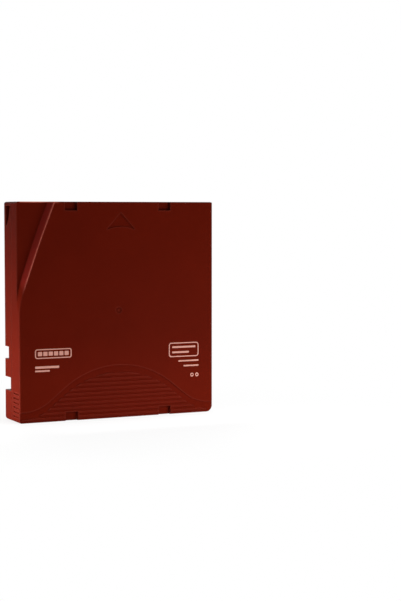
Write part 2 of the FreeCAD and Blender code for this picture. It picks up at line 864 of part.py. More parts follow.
# ---------------------------------------------------------------- fasteners
def case_screws():
    """Four self-tapping screws with cross recesses, as one group."""
    head_y1 = y_bottom - screw_head_inset
    head_y0 = head_y1 - screw_head_height
    screws = []
    for x, z in screw_places:
        screw = fuse(disc(screw_head_radius, head_y0, head_y1, x, z),
                     [disc(screw_shank_radius, head_y0 - screw_length, head_y0, x, z)])
        floor = head_y1 - screw_slot_depth
        long_half = screw_slot_length / 2
        short_half = screw_slot_width / 2
        slots = [box(x - long_half, x + long_half, floor, head_y1, z - short_half, z + short_half),
                 box(x - short_half, x + short_half, floor, head_y1, z - long_half, z + long_half)]
        screws.append(cut(screw, slots))
    return Part.makeCompound(screws)


# ---------------------------------------------------------------- reel
def leg_windows(y0, y1, gap):
    """Three openings, or with a negative gap three legs, evenly spaced round the hub's floor."""
    half = spider_leg_width / 2 + gap
    first = box(spider_leg_radius - half, spider_leg_radius + half, y0, y1, reel_z - half, reel_z + half)
    return [turned(first, 360.0 / window_count * index) for index in range(window_count)]


def clamp_pocket(grow):
    half = clamp_angle / 2 + math.degrees(grow / hub_radius)
    return sector(hub_radius + tape_hub_gap, hub_radius - clamp_depth - grow,
                  clamp_middle_angle - half, clamp_middle_angle + half, tape_y0, tape_y1)


def reel_hub():
    """Hub with its floor, lower flange, drive ring and both rings of teeth."""
    hub = ring(hub_radius, hub_bore_radius, up_flange_inner, low_flange_outer)
    web = disc(hub_radius, web_top, low_flange_outer)
    flange = disc(flange_radius, low_flange_inner, low_flange_outer)
    drive_ring = ring(drive_ring_outer, drive_ring_inner, low_flange_outer, drive_ring_y)
    hub = fuse(hub, [web, flange, drive_ring])
    hub = fuse(hub, crown(drive_ring_inner + tooth_margin, drive_ring_outer - tooth_margin,
                          drive_ring_y, drive_tooth_tip, drive_tooth_count))
    hub = fuse(hub, crown(brake_tooth_inner, brake_tooth_outer, web_top, web_top - brake_tooth_height,
                          brake_tooth_count))
    hub = cut(hub, leg_windows(web_top - flange_thickness, drive_tooth_tip, spider_gap))
    return hub.cut(clamp_pocket(clamp_gap))


def reel_upper_flange():
    return ring(flange_radius, hub_bore_radius, up_flange_outer, up_flange_inner)


def reel_drive_plate():
    """Steel washer under the hub's floor, inside the drive ring."""
    return ring(drive_ring_inner - plate_gap, plate_bore_radius, low_flange_outer,
                low_flange_outer + plate_thickness)


def tape_end_clamp():
    return clamp_pocket(0.0).common(ring(hub_radius, hub_radius - clamp_depth, tape_y0, tape_y1))


def tape_pack():
    return ring(tape_outer_radius, hub_radius + tape_hub_gap, tape_y0, tape_y1)


# ---------------------------------------------------------------- leader
def leader_line():
    """Start on the pack, end at the pin, and the angle of the straight run of tape between them."""
    radius = tape_outer_radius + leader_gap + leader_thickness / 2
    across = pin_x
    up = pin_z - reel_z
    distance = math.hypot(across, up)
    contact = math.atan2(up, across) - math.acos(radius / distance)
    start = (radius * math.cos(contact), reel_z + radius * math.sin(contact))
    return start, math.atan2(pin_z - start[1], pin_x - start[0])


def leader_tape():
    start, angle = leader_line()
    length = math.hypot(pin_x - start[0], pin_z - start[1]) - pin_radius - clip_gap - leader_thickness
    strip = Part.makeBox(length, tape_width, leader_thickness, vec(0, tape_y0, -leader_thickness / 2))
    strip.rotate(vec(0, 0, 0), vec(0, 1, 0), -math.degrees(angle))
    strip.translate(vec(start[0], 0, start[1]))
    return strip


def leader_pin():
    pin = disc(pin_radius, -pin_half_length, pin_half_length, pin_x, pin_z)
    heads = [disc(pin_head_radius, y0, y0 + pin_head_thickness, pin_x, pin_z)
             for y0 in (-pin_half_length, pin_half_length - pin_head_thickness)]
    return fuse(pin, heads)


def leader_pin_clip():
    """Split sleeve that presses the tape's end on the pin."""
    clip = ring(clip_outer, pin_radius + clip_gap, tape_y0 - clip_side_gap, tape_y1 + clip_side_gap,
                pin_x, pin_z)
    _, angle = leader_line()
    slot = Part.makeBox(2 * clip_outer, tape_width + 2 * clip_side_gap, clip_slot,
                        vec(-2 * clip_outer, tape_y0 - clip_side_gap, -clip_slot / 2))
    slot.rotate(vec(0, 0, 0), vec(0, 1, 0), -math.degrees(angle))
    slot.translate(vec(pin_x, 0, pin_z))
    return clip.cut(slot)


def leader_pin_springs():
    """Two leaf springs, one beside each head of the pin, as one group."""
    x0, z0, z1 = leaf_places()
    inner = half_thickness - skin
    leaves = [box(x0, x0 + leaf_thickness, y0, y0 + leaf_width, z0, z1)
              for y0 in (-inner, inner - leaf_width)]
    return Part.makeCompound(leaves)


# ---------------------------------------------------------------- brake
def key_cross(gap, y0, y1):
    long_half = key_length / 2 + gap
    short_half = key_width / 2 + gap
    return [box(-long_half, long_half, y0, y1, reel_z - short_half, reel_z + short_half),
            box(-short_half, short_half, y0, y1, reel_z - long_half, reel_z + long_half)]


def brake_button():
    """Toothed disc with a cross-shaped socket that slides on the shell's key."""
    button = fuse(disc(brake_disc_radius, brake_top, brake_low),
                  [disc(brake_boss_radius, brake_boss_top, brake_top)])
    tooth_tip = brake_low + brake_tooth_height
    button = fuse(button, crown(brake_tooth_inner, brake_tooth_outer, brake_low, tooth_tip,
                                brake_tooth_count, 0.5))
    return cut(button, key_cross(key_gap, brake_boss_top, socket_floor))


def brake_release_spider():
    """Ring under the brake disc with three legs that reach through the hub's floor."""
    plate = ring(spider_outer, spider_inner, web_top - spider_thickness, web_top)
    return fuse(plate, leg_windows(web_top - spider_thickness / 2, drive_tooth_tip - spider_leg_inset, 0.0))


def brake_spring():
    spring = coil(brake_coil_radius, brake_wire_radius, brake_top - y_top_inner, brake_coil_turns)
    spring.rotate(vec(0, 0, 0), vec(1, 0, 0), -90)
    spring.translate(vec(0, y_top_inner, reel_z))
    return spring


# ---------------------------------------------------------------- door and write-protect switch
def slide_door():
    """Flat door behind the side wall, with finger grooves near its front end."""
    door = box(door_x0, door_x1, -door_half, door_half, door_z0, door_z1)
    grips = []
    for index in range(door_grip_count):
        z0 = window_z1 - door_grip_pitch * (index + 1)
        grips.append(box(door_x1 - door_grip_depth, door_x1, -window_half / 2, window_half / 2,
                         z0, z0 + door_grip_width))
    return cut(door, grips)


def door_spring():
    spring = coil(door_coil_radius, door_wire_radius, door_spring_length, door_coil_turns)
    spring.translate(vec(door_coil_x, 0, door_stop_z))
    return spring


def write_protect_tab():
    """Sliding plate behind the rear wall with the button that shows in the window."""
    y0 = y_seam + switch_window_gap
    plate_x0 = switch_window_x0 - switch_plate_overlap
    z0 = wall + switch_clearance
    plate = box(plate_x0, plate_x0 + switch_plate_length, y_seam + switch_clearance,
                y_bottom_inner - switch_clearance, z0, z0 + switch_plate_thickness)
    button_x0 = switch_window_x0 + switch_clearance
    button_x1 = switch_window_x0 + switch_window_length - switch_travel - switch_clearance
    button = box(button_x0, button_x1, y0 + switch_clearance, y0 + switch_window_height - switch_clearance,
                 switch_button_inset, z0)
    return fuse(plate, [button])


# ---------------------------------------------------------------- memory
def memory_board():
    low = board_low_edge()
    return board_place(Part.makeBox(board_length, board_height, board_thickness,
                                    vec(-board_length / 2, low - board_height, -board_thickness / 2)))


def memory_chip():
    middle = antenna_middle()
    return board_place(Part.makeBox(chip_size, chip_size, chip_thickness,
                                    vec(-chip_size / 2, middle - chip_size / 2, board_thickness / 2)))


def memory_antenna():
    """Flat copper loop round the chip."""
    middle = antenna_middle()
    outer = Part.makeBox(antenna_length, antenna_height, antenna_thickness,
                         vec(-antenna_length / 2, middle - antenna_height / 2, board_thickness / 2))
    inner_length = antenna_length - 2 * antenna_track
    inner_height = antenna_height - 2 * antenna_track
    inner = Part.makeBox(inner_length, inner_height, antenna_thickness,
                         vec(-inner_length / 2, middle - inner_height / 2, board_thickness / 2))
    return board_place(outer.cut(inner))


# ---------------------------------------------------------------- all nodes
builders = [upper_shell, lower_shell, case_screws, slide_door, door_spring, write_protect_tab,
            reel_hub, reel_upper_flange, reel_drive_plate, tape_end_clamp, tape_pack,
            leader_tape, leader_pin, leader_pin_clip, leader_pin_springs,
            brake_button, brake_spring, brake_release_spider,
            memory_board, memory_chip, memory_antenna]

os.makedirs("parts", exist_ok=True)
for builder in builders:
    shape = builder()
    name = builder.__name__
    shape.exportStep("parts/" + name + ".step")
    size = shape.BoundBox
    print(f"{name:24s} solids {len(shape.Solids)} valid {shape.isValid()} volume {shape.Volume:10.2f}"
          f"  X {size.XMin:7.2f} {size.XMax:7.2f}  Y {size.YMin:7.2f} {size.YMax:7.2f}"
          f"  Z {size.ZMin:7.2f} {size.ZMax:7.2f}")
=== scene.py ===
"""Finishes, print and studio stage for a half-inch data tape cartridge that stands on its rear edge."""

import math

import bmesh
import bpy
from bpy.props import FloatProperty, FloatVectorProperty, IntProperty, PointerProperty
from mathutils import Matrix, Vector


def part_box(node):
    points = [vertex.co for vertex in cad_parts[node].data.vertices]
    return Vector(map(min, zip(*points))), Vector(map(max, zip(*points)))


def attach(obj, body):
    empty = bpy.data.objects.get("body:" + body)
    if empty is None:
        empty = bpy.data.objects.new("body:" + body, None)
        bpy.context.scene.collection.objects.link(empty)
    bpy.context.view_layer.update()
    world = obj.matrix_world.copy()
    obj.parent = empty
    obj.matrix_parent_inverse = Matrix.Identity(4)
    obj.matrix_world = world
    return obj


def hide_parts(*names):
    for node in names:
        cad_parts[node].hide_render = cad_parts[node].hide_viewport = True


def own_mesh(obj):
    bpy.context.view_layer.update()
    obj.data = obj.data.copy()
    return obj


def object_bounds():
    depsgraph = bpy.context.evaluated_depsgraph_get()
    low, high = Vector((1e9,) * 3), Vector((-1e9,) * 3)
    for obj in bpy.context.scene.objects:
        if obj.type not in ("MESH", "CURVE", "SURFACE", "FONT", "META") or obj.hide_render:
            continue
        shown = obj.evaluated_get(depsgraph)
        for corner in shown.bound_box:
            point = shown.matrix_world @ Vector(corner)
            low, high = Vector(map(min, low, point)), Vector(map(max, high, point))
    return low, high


bl_info = {
    "name": "Data Tape Cartridge",
    "version": (1, 0, 0),
    "blender": (4, 5, 0),
    "location": "View3D > Sidebar > Cartridge",
    "description": "Finishes the case, its print, its reel and its small parts, and sets up the studio",
    "category": "Object",
}

MM = 0.001
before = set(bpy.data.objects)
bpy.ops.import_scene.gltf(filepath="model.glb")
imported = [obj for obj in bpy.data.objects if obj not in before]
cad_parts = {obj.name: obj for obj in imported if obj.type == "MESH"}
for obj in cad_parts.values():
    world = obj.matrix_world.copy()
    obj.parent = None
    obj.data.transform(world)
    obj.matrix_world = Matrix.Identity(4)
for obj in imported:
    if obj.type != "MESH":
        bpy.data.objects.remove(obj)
CASE_LOW, CASE_HIGH = [Vector(corner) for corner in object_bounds()]
CASE_MIDDLE = (CASE_LOW + CASE_HIGH) / 2
WIRE_SIDES = 10
COIL_STEPS = 48
CORNER_STEPS = 6

# Printed bars, each as its far end, its near end, its low edge and its high edge in millimetres. The ends are
# measured from the margin, the edges from the rear edge of the case.
LEFT_BARS = ((12.2, 0, 25.9, 27.0), (7.4, 0, 24.3, 25.1))
RIGHT_BARS = ((14.6, 1.8, 32.9, 33.8), (14.6, 5.4, 30.3, 31.2), (11.2, 0, 26.0, 26.7), (8.3, 0, 23.5, 24.2))


# ------------------------------------------------------------------ settings
class CartridgeShellSettings(bpy.types.PropertyGroup):
    """Moulded plastic of the two case halves"""
    plastic_colour: FloatVectorProperty(
        name="Plastic Colour", description="Colour of the dyed case plastic",
        subtype="COLOR", size=3, min=0, max=1, default=(0.077, 0.0048, 0.0015))
    shade_shift: FloatProperty(
        name="Shade Shift", description="How far the dye drifts across the moulding",
        subtype="FACTOR", min=0, max=1, default=0.04)
    roughness: FloatProperty(
        name="Roughness", description="Average roughness of the satin surface",
        subtype="FACTOR", min=0, max=1, default=0.48)
    grain_size: FloatProperty(
        name="Grain Size", description="Distance between the grains of the mould texture",
        subtype="DISTANCE", unit="LENGTH", min=0.00005, default=0.35 * MM)
    grain_depth: FloatProperty(
        name="Grain Depth", description="Depth of the mould texture",
        subtype="DISTANCE", unit="LENGTH", min=0, default=0.012 * MM)
    # The edge colour and edge share paint a highlight into the case's colour along its edges, strongest along
    # the lip of the guide recess.
    edge_highlight_colour: FloatVectorProperty(
        name="Edge Colour", description="Paler colour painted along the edges as a highlight",
        subtype="COLOR", size=3, min=0, max=1, default=(0.62, 0.16, 0.115))
    edge_highlight_share: FloatProperty(
        name="Edge Share", description="Painted highlight on the other edges, as a share of that on the guide recess",
        subtype="FACTOR", min=0, max=1, default=0.045)
    # The wall colour paints a paler sheen on the left-facing wall of the guide recess.
    wall_sheen_colour: FloatVectorProperty(
        name="Wall Colour", description="Slightly paler colour of the wall of the guide recess",
        subtype="COLOR", size=3, min=0, max=1, default=(0.145, 0.0110, 0.0075))
    sheen: FloatProperty(
        name="Sheen", description="Strength of the reflection, low so that white surroundings do not pale it",
        subtype="FACTOR", min=0, max=1, default=0.005)
    # The next four settings bound the part of the guide recess that gets the painted highlight and the
    # painted wall sheen.
    guide_width: FloatProperty(
        name="Guide Width", description="Distance from the case's side within which the recess gets painted highlight and sheen",
        subtype="DISTANCE", unit="LENGTH", min=0, default=18.5 * MM)
    guide_rise: FloatProperty(
        name="Guide Rise", description="Height above the middle of the case at which the painted highlight and sheen begin",
        subtype="DISTANCE", unit="LENGTH", default=8 * MM)
    guide_depth: FloatProperty(
        name="Guide Depth", description="Depth below the large face down to which the recess gets painted highlight and sheen",
        subtype="DISTANCE", unit="LENGTH", min=0, default=4 * MM)
    side_land: FloatProperty(
        name="Side Land", description="Strip of the recess beside the case's side that gets no painted highlight or sheen",
        subtype="DISTANCE", unit="LENGTH", min=0, default=1.2 * MM)
    edge_softness: FloatProperty(
        name="Edge Softness", description="Radius by which the moulded edges look rounded",
        subtype="DISTANCE", unit="LENGTH", min=0, default=0.35 * MM)


class CartridgePrintSettings(bpy.types.PropertyGroup):
    """Plain printed fields on the large face"""
    ink_colour: FloatVectorProperty(
        name="Ink Colour", description="Colour of the printed fields",
        subtype="COLOR", size=3, min=0, max=1, default=(0.41, 0.168, 0.122))
    ink_gap: FloatProperty(
        name="Ink Gap", description="Hair's breadth between the face and the ink",
        subtype="DISTANCE", unit="LENGTH", min=0, default=0.002 * MM)
    ink_thickness: FloatProperty(
        name="Ink Thickness", description="Height of the ink above the face",
        subtype="DISTANCE", unit="LENGTH", min=0, default=0.01 * MM)
    line_width: FloatProperty(
        name="Line Width", description="Width of the printed lines",
        subtype="DISTANCE", unit="LENGTH", min=0, default=0.5 * MM)
    corner_radius: FloatProperty(
        name="Corner Radius", description="Radius at the corners of each printed field",
        subtype="DISTANCE", unit="LENGTH", min=0, default=0.25 * MM)
    side_margin: FloatProperty(
        name="Side Margin", description="Distance from the case's side to the printed fields",
        subtype="DISTANCE", unit="LENGTH", min=0, default=7.7 * MM)


class CartridgeInnerSettings(bpy.types.PropertyGroup):
    """Colours of the small moulded pieces and of the tape"""
    reel_colour: FloatVectorProperty(
        name="Reel Colour", description="Colour of the hub and flanges",
        subtype="COLOR", size=3, min=0, max=1, default=(0.62, 0.60, 0.54))
    tape_colour: FloatVectorProperty(
        name="Tape Colour", description="Colour of the coated film",
        subtype="COLOR", size=3, min=0, max=1, default=(0.014, 0.011, 0.010))
    door_colour: FloatVectorProperty(
        name="Door Colour", description="Colour of the sliding door",
        subtype="COLOR", size=3, min=0, max=1, default=(0.035, 0.034, 0.036))
    switch_colour: FloatVectorProperty(
        name="Switch Colour", description="Colour of the write-protect switch",
        subtype="COLOR", size=3, min=0, max=1, default=(0.48, 0.46, 0.42))
    clip_colour: FloatVectorProperty(
        name="Clip Colour", description="Colour of the clips and the release spider",
        subtype="COLOR", size=3, min=0, max=1, default=(0.70, 0.68, 0.62))
    brake_colour: FloatVectorProperty(
        name="Brake Colour", description="Colour of the brake button",
        subtype="COLOR", size=3, min=0, max=1, default=(0.020, 0.020, 0.022))
    lacquer_colour: FloatVectorProperty(
        name="Lacquer Colour", description="Colour of the memory board's lacquer",
        subtype="COLOR", size=3, min=0, max=1, default=(0.010, 0.075, 0.028))


class CartridgeMetalSettings(bpy.types.PropertyGroup):
    """Bright metal pieces and the wire of the coil springs"""
    steel_colour: FloatVectorProperty(
        name="Steel Colour", description="Colour of the steel pieces",
        subtype="COLOR", size=3, min=0, max=1, default=(0.56, 0.56, 0.57))
    copper_colour: FloatVectorProperty(
        name="Copper Colour", description="Colour of the antenna track",
        subtype="COLOR", size=3, min=0, max=1, default=(0.78, 0.36, 0.19))
    line_spacing: FloatProperty(
        name="Line Spacing", description="Distance between the fine lines of the metal's finish",
        subtype="DISTANCE", unit="LENGTH", min=0.00001, default=0.12 * MM)
    door_turns: IntProperty(
        name="Door Spring Turns", description="Turns of the spring that closes the door",
        min=1, default=8)
    door_wire: FloatProperty(
        name="Door Spring Wire", description="Radius of the wire of the door's spring",
        subtype="DISTANCE", unit="LENGTH", min=0.00001, default=0.15 * MM)
    brake_turns: IntProperty(
        name="Brake Spring Turns", description="Turns of the spring that pushes the brake button",
        min=1, default=5)
    brake_wire: FloatProperty(
        name="Brake Spring Wire", description="Radius of the wire of the brake's spring",
        subtype="DISTANCE", unit="LENGTH", min=0.00001, default=0.45 * MM)


class CartridgeStageSettings(bpy.types.PropertyGroup):
    """Camera, floor and lamps"""
    camera_azimuth: FloatProperty(
        name="Camera Azimuth", description="Turn of the view from straight ahead towards the left side",
        subtype="ANGLE", unit="ROTATION", default=math.radians(26.23))
    camera_elevation: FloatProperty(
        name="Camera Elevation", description="How far the camera looks down",
        subtype="ANGLE", unit="ROTATION", default=math.radians(3.44))
    camera_distance: FloatProperty(
        name="Camera Distance", description="Distance from the camera to the point it looks at",
        subtype="DISTANCE", unit="LENGTH", default=723.6 * MM)
    aim_offset: FloatVectorProperty(
        name="Aim Offset", description="Point that the camera looks at, from the middle of the case",
        subtype="TRANSLATION", unit="LENGTH", size=3, default=(40.1 * MM, -19.5 * MM, 4.1 * MM))
    lens: FloatProperty(
        name="Lens", description="Focal length on a 36 mm sensor",
        unit="CAMERA", min=1, default=87.7)
    floor_size: FloatProperty(
        name="Floor Size", description="Side of the square floor",
        subtype="DISTANCE", unit="LENGTH", default=6.0)
    floor_gap: FloatProperty(
        name="Floor Gap", description="Hair's breadth between the floor and the case",
        subtype="DISTANCE", unit="LENGTH", default=0.03 * MM)
    floor_clear: FloatProperty(
        name="Floor Clear", description="Distance at which the floor fades into the white background",
        subtype="DISTANCE", unit="LENGTH", default=0.16)
    floor_shade: FloatProperty(
        name="Floor Shade", description="Grey level of the floor near the case",
        subtype="FACTOR", min=0, max=1, default=0.90)
    floor_white: FloatProperty(
        name="Floor White", description="Share of plain white that the camera sees beside the case",
        subtype="FACTOR", min=0, max=1, default=0.8)
    ambient: FloatProperty(
        name="Ambient", description="Strength of the even light from all round",
        min=0, default=0.25)
    top_power: FloatProperty(
        name="Top Lamp", description="Power of the soft lamp above",
        unit="POWER", min=0, default=2.6)
    side_power: FloatProperty(
        name="Side Lamp", description="Power of the soft lamp at the left",
        unit="POWER", min=0, default=0.20)
    right_power: FloatProperty(
        name="Right Lamp", description="Power of the soft lamp at the right",
        unit="POWER", min=0, default=1.3)
    back_power: FloatProperty(
        name="Back Lamp", description="Power of the soft lamp behind",
        unit="POWER", min=0, default=2.0)
    fill_power: FloatProperty(
        name="Fill Lamp", description="Power of the lamp in front",
        unit="POWER", min=0, default=0.21)
    low_power: FloatProperty(
        name="Low Lamp", description="Power of the strip in front of the rear edge",
        unit="POWER", min=0, default=0.009)


# ------------------------------------------------------------------ node helpers
class NodeBoard:
    """A material's node tree with the few links that every finish here needs."""

    def __init__(self, name):
        self.material = bpy.data.materials.new(name)
        self.material.use_nodes = True
        self.nodes = self.material.node_tree.nodes
        self.links = self.material.node_tree.links
        self.surface = self.nodes["Principled BSDF"]
        coordinates = self.add("ShaderNodeTexCoord")
        self.place = coordinates.outputs["Object"]
        self.normal = coordinates.outputs["Normal"]

    def add(self, kind, **values):
        """New node with some of its properties set."""
        node = self.nodes.new(kind)
        for key, value in values.items():
            setattr(node, key, value)
        return node

    def wire(self, source, target):
        """Link an output to an input."""
        self.links.new(source, target)

    def noise(self, spacing, detail=2.0, stretch=(1.0, 1.0, 1.0)):
        """Cloudy pattern whose patches lie about `spacing` metres apart."""
        mapping = self.add("ShaderNodeMapping")
        mapping.inputs["Scale"].default_value = stretch
        self.wire(self.place, mapping.inputs["Vector"])
        node = self.add("ShaderNodeTexNoise")
        node.inputs["Scale"].default_value = 1.0 / spacing
        node.inputs["Detail"].default_value = detail
        self.wire(mapping.outputs["Vector"], node.inputs["Vector"])
        return node.outputs["Fac"]

    def ramp(self, value, low, high):
        """Spread a 0 to 1 value over the range from low to high."""
        node = self.add("ShaderNodeMapRange")
        node.inputs["To Min"].default_value = low
        node.inputs["To Max"].default_value = high
        self.wire(value, node.inputs["Value"])
        return node.outputs["Result"]

    def shades(self, value, dark, light):
        """Colour that runs from dark to light with a value."""
        node = self.add("ShaderNodeValToRGB")
        node.color_ramp.elements[0].position = 0.3
        node.color_ramp.elements[1].position = 0.7
        node.color_ramp.elements[0].color = (*dark, 1)
        node.color_ramp.elements[1].color = (*light, 1)
        self.wire(value, node.inputs["Fac"])
        return node.outputs["Color"]

    def bump(self, height, depth, below=None):
        """Raise the surface by up to `depth` metres where the height value is 1."""
        node = self.add("ShaderNodeBump")
        node.inputs["Strength"].default_value = 1.0
        node.inputs["Distance"].default_value = depth
        self.wire(height, node.inputs["Height"])
        if below is not None:
            self.wire(below, node.inputs["Normal"])
        return node.outputs["Normal"]

    def rings(self, spacing, distortion):
        """Rings about the reel's axis, `spacing` metres apart."""
        shift = self.add("ShaderNodeMapping")
        shift.inputs["Location"].default_value = (0, 0, -CASE_MIDDLE.z)
        self.wire(self.place, shift.inputs["Vector"])
        node = self.add("ShaderNodeTexWave", wave_type="RINGS", rings_direction="Y", wave_profile="SAW")
        node.inputs["Scale"].default_value = math.pi / 10 / spacing
        node.inputs["Distortion"].default_value = distortion
        node.inputs["Detail"].default_value = 2.0
        self.wire(shift.outputs["Vector"], node.inputs["Vector"])
        return node.outputs["Fac"]

    def soft_edges(self, radius):
        """Normal that rounds every edge by a radius."""
        node = self.add("ShaderNodeBevel", samples=6)
        node.inputs["Radius"].default_value = radius
        return node.outputs["Normal"]

    def outer_edges(self, reach, patches):
        """Value near 1 along outer edges, where a short way into the material leads out again."""
        # Share of the rays into the material that meet nothing, under a flat face and under a sharp edge.
        flat_face, sharp_edge = 0.97, 0.84
        depth = self.add("ShaderNodeAmbientOcclusion", samples=8, inside=True, only_local=True)
        depth.inputs["Distance"].default_value = reach
        edge = self.add("ShaderNodeMapRange")
        edge.inputs["From Min"].default_value = flat_face
        edge.inputs["From Max"].default_value = sharp_edge
        self.wire(depth.outputs["AO"], edge.inputs["Value"])
        return self.times(edge.outputs["Result"], self.ramp(patches, 0.5, 1.0))

    def times(self, product, *others):
        """Product of two or more values."""
        for other in others:
            node = self.add("ShaderNodeMath", operation="MULTIPLY")
            self.wire(product, node.inputs[0])
            self.wire(other, node.inputs[1])
            product = node.outputs["Value"]
        return product

    def fade(self, vector, axis, start, end):
        """Value that goes from 0 to 1 as the vector's X, Y or Z goes from start to end."""
        split = self.add("ShaderNodeSeparateXYZ")
        self.wire(vector, split.inputs["Vector"])
        node = self.add("ShaderNodeMapRange", interpolation_type="SMOOTHSTEP")
        node.inputs["From Min"].default_value = start
        node.inputs["From Max"].default_value = end
        self.wire(split.outputs[axis], node.inputs["Value"])
        return node.outputs["Result"]

    def blend(self, share, first, second_colour):
        """Mix a coloured link towards a plain colour."""
        node = self.add("ShaderNodeMix", data_type="RGBA")
        self.wire(share, node.inputs["Factor"])
        self.wire(first, node.inputs["A"])
        node.inputs["B"].default_value = (*second_colour, 1)
        return node.outputs["Result"]

    def value(self, socket, number):
        """Set one of the surface's inputs to the same value all over."""
        self.surface.inputs[socket].default_value = number


def drift(colour, share):
    """Darker and lighter neighbour of a colour."""
    dark = [channel * (1 - share) for channel in colour]
    light = [min(1.0, channel * (1 + share)) for channel in colour]
    return dark, light


def halved(colour):
    """A colour at half its brightness."""
    return [0.5 * channel for channel in colour]


def wear(nodes, material):
    """Give a finish to one or more of the case's solids."""
    for name in nodes:
        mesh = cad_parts[name].data
        mesh.materials.clear()
        mesh.materials.append(material)


# ------------------------------------------------------------------ finishes
def moulded_plastic(name, colour, edge_highlight_colour, roughness, grain_size, grain_depth, shade_shift,
                    edge_softness, specular, paint_highlights=None):
    """Dyed plastic from a spark-eroded mould: even colour, fine grain, satin sheen, and a highlight painted
    into the colour along the edges.

    An optional hook, called with the board, the base colour and the edge mask, paints the highlight and any
    painted sheen where they differ from place to place.
    """
    board = NodeBoard(name)
    cloud = board.noise(18 * MM, detail=3.0)
    dark, light = drift(colour, shade_shift)
    edges = board.soft_edges(edge_softness)
    # Painted highlight: a patchy mask along the outer edges blends the colour towards the paler edge colour.
    highlight_edges = board.outer_edges(1.7 * edge_softness, board.noise(3 * MM, detail=3.0))
    base = board.shades(cloud, dark, light)
    base = board.blend(highlight_edges, base, edge_highlight_colour) if paint_highlights is None else paint_highlights(board, base, highlight_edges)
    board.wire(base, board.surface.inputs["Base Color"])
    grain = board.noise(grain_size, detail=3.0)
    board.wire(board.ramp(grain, roughness - 0.05, roughness + 0.07), board.surface.inputs["Roughness"])
    board.wire(board.bump(grain, grain_depth, edges), board.surface.inputs["Normal"])
    board.value("Specular IOR Level", specular)
    return board.material


def drawn_steel(name, colour, spacing, roughness):
    """Steel with fine lines left by rolling or drawing."""
    board = NodeBoard(name)
    lines = board.noise(spacing, stretch=(1.0, 0.08, 1.0))
    dark, light = drift(colour, 0.12)
    board.wire(board.shades(lines, dark, light), board.surface.inputs["Base Color"])
    board.wire(board.ramp(lines, roughness - 0.06, roughness + 0.1), board.surface.inputs["Roughness"])
    board.wire(board.bump(lines, 0.004 * MM, board.soft_edges(0.12 * MM)), board.surface.inputs["Normal"])
    board.value("Metallic", 1.0)
    return board.material


def turned_steel(name, colour, spacing, roughness):
    """Steel disc with the fine rings that a lathe leaves."""
    board = NodeBoard(name)
    lines = board.rings(spacing, 0.8)
    blur = board.noise(4 * MM, detail=3.0)
    dark, light = drift(colour, 0.2)
    board.wire(board.shades(board.times(lines, board.ramp(blur, 0.6, 1.0)), dark, light),
               board.surface.inputs["Base Color"])
    board.wire(board.ramp(blur, roughness - 0.08, roughness + 0.12), board.surface.inputs["Roughness"])
    board.wire(board.bump(lines, 0.015 * MM, board.soft_edges(0.12 * MM)), board.surface.inputs["Normal"])
    board.value("Metallic", 1.0)
    return board.material


def wound_film(name, colour, roughness):
    """Edge of many turns of film, with faint rings about the reel's axis, and a smooth glossy side."""
    board = NodeBoard(name)
    turns = board.rings(0.75 * MM, 1.2)
    dark, light = drift(colour, 0.35)
    board.wire(board.shades(turns, dark, light), board.surface.inputs["Base Color"])
    board.wire(board.ramp(turns, roughness, roughness + 0.12), board.surface.inputs["Roughness"])
    board.wire(board.bump(turns, 0.01 * MM), board.surface.inputs["Normal"])
    return board.material


def lacquered_board(name, colour):
    """Green lacquer over a woven laminate."""
    board = NodeBoard(name)
    weave = board.add("ShaderNodeTexChecker")
    weave.inputs["Scale"].default_value = 1.0 / (0.5 * MM)
    board.wire(board.place, weave.inputs["Vector"])
    dark, light = drift(colour, 0.2)
    board.wire(board.shades(weave.outputs["Fac"], dark, light), board.surface.inputs["Base Color"])
    board.wire(board.bump(weave.outputs["Fac"], 0.006 * MM), board.surface.inputs["Normal"])
    board.value("Roughness", 0.3)
    return board.material


def printed_ink(name, colour):
    """Thin opaque ink that follows the grain below it."""
    board = NodeBoard(name)
    grain = board.noise(0.3 * MM, detail=3.0)
    dark, light = drift(colour, 0.14)
    board.wire(board.shades(grain, dark, light), board.surface.inputs["Base Color"])
    board.wire(board.ramp(grain, 0.5, 0.65), board.surface.inputs["Roughness"])
    board.wire(board.bump(grain, 0.008 * MM), board.surface.inputs["Normal"])
    return board.material


# ------------------------------------------------------------------ operators: case
class CARTRIDGE_OT_dress_shells(bpy.types.Operator):
    """Give both case halves their dark red moulded plastic"""
    bl_idname = "cartridge.dress_shells"
    bl_label = "Dress Case Halves"

    def execute(self, context):
        shell = context.scene.cartridge_shell
        land_x = CASE_LOW.x + shell.side_land
        guide_x = CASE_LOW.x + shell.guide_width
        guide_y = CASE_LOW.y + shell.guide_depth
        guide_z = CASE_MIDDLE.z + shell.guide_rise

        def paint_highlights(board, base, highlight_edges):
            """Paint a faint highlight along every edge, a strong one along the lip of the guide recess, and a
            paler sheen on the recess's left-facing wall.
            """
            inward = board.fade(board.place, "X", land_x, land_x + 1 * MM)
            across = board.fade(board.place, "X", guide_x + 3 * MM, guide_x)
            along = board.fade(board.place, "Z", guide_z, guide_z + 8 * MM)
            raised = board.fade(board.place, "Y", guide_y + 1 * MM, guide_y)
            guide = board.times(inward, across, along, raised)
            # Painted sheen: where the recess's surface faces left, its colour is made paler.
            faces_left = board.fade(board.normal, "X", -0.45, -0.6)
            wall = board.times(guide, faces_left)
            base = board.blend(wall, base, shell.wall_sheen_colour)
            # Painted highlight: edges are blended towards the edge colour, fully in the guide recess and by
            # the edge share elsewhere.
            highlight_mask = board.times(highlight_edges, board.ramp(guide, shell.edge_highlight_share, 1.0))
            return board.blend(highlight_mask, base, shell.edge_highlight_colour)

        plastic = moulded_plastic("shell_plastic", shell.plastic_colour, shell.edge_highlight_colour, shell.roughness,
                                  shell.grain_size, shell.grain_depth, shell.shade_shift,
                                  shell.edge_softness, shell.sheen, paint_highlights)
        wear(("upper_shell", "lower_shell"), plastic)
        return {"FINISHED"}


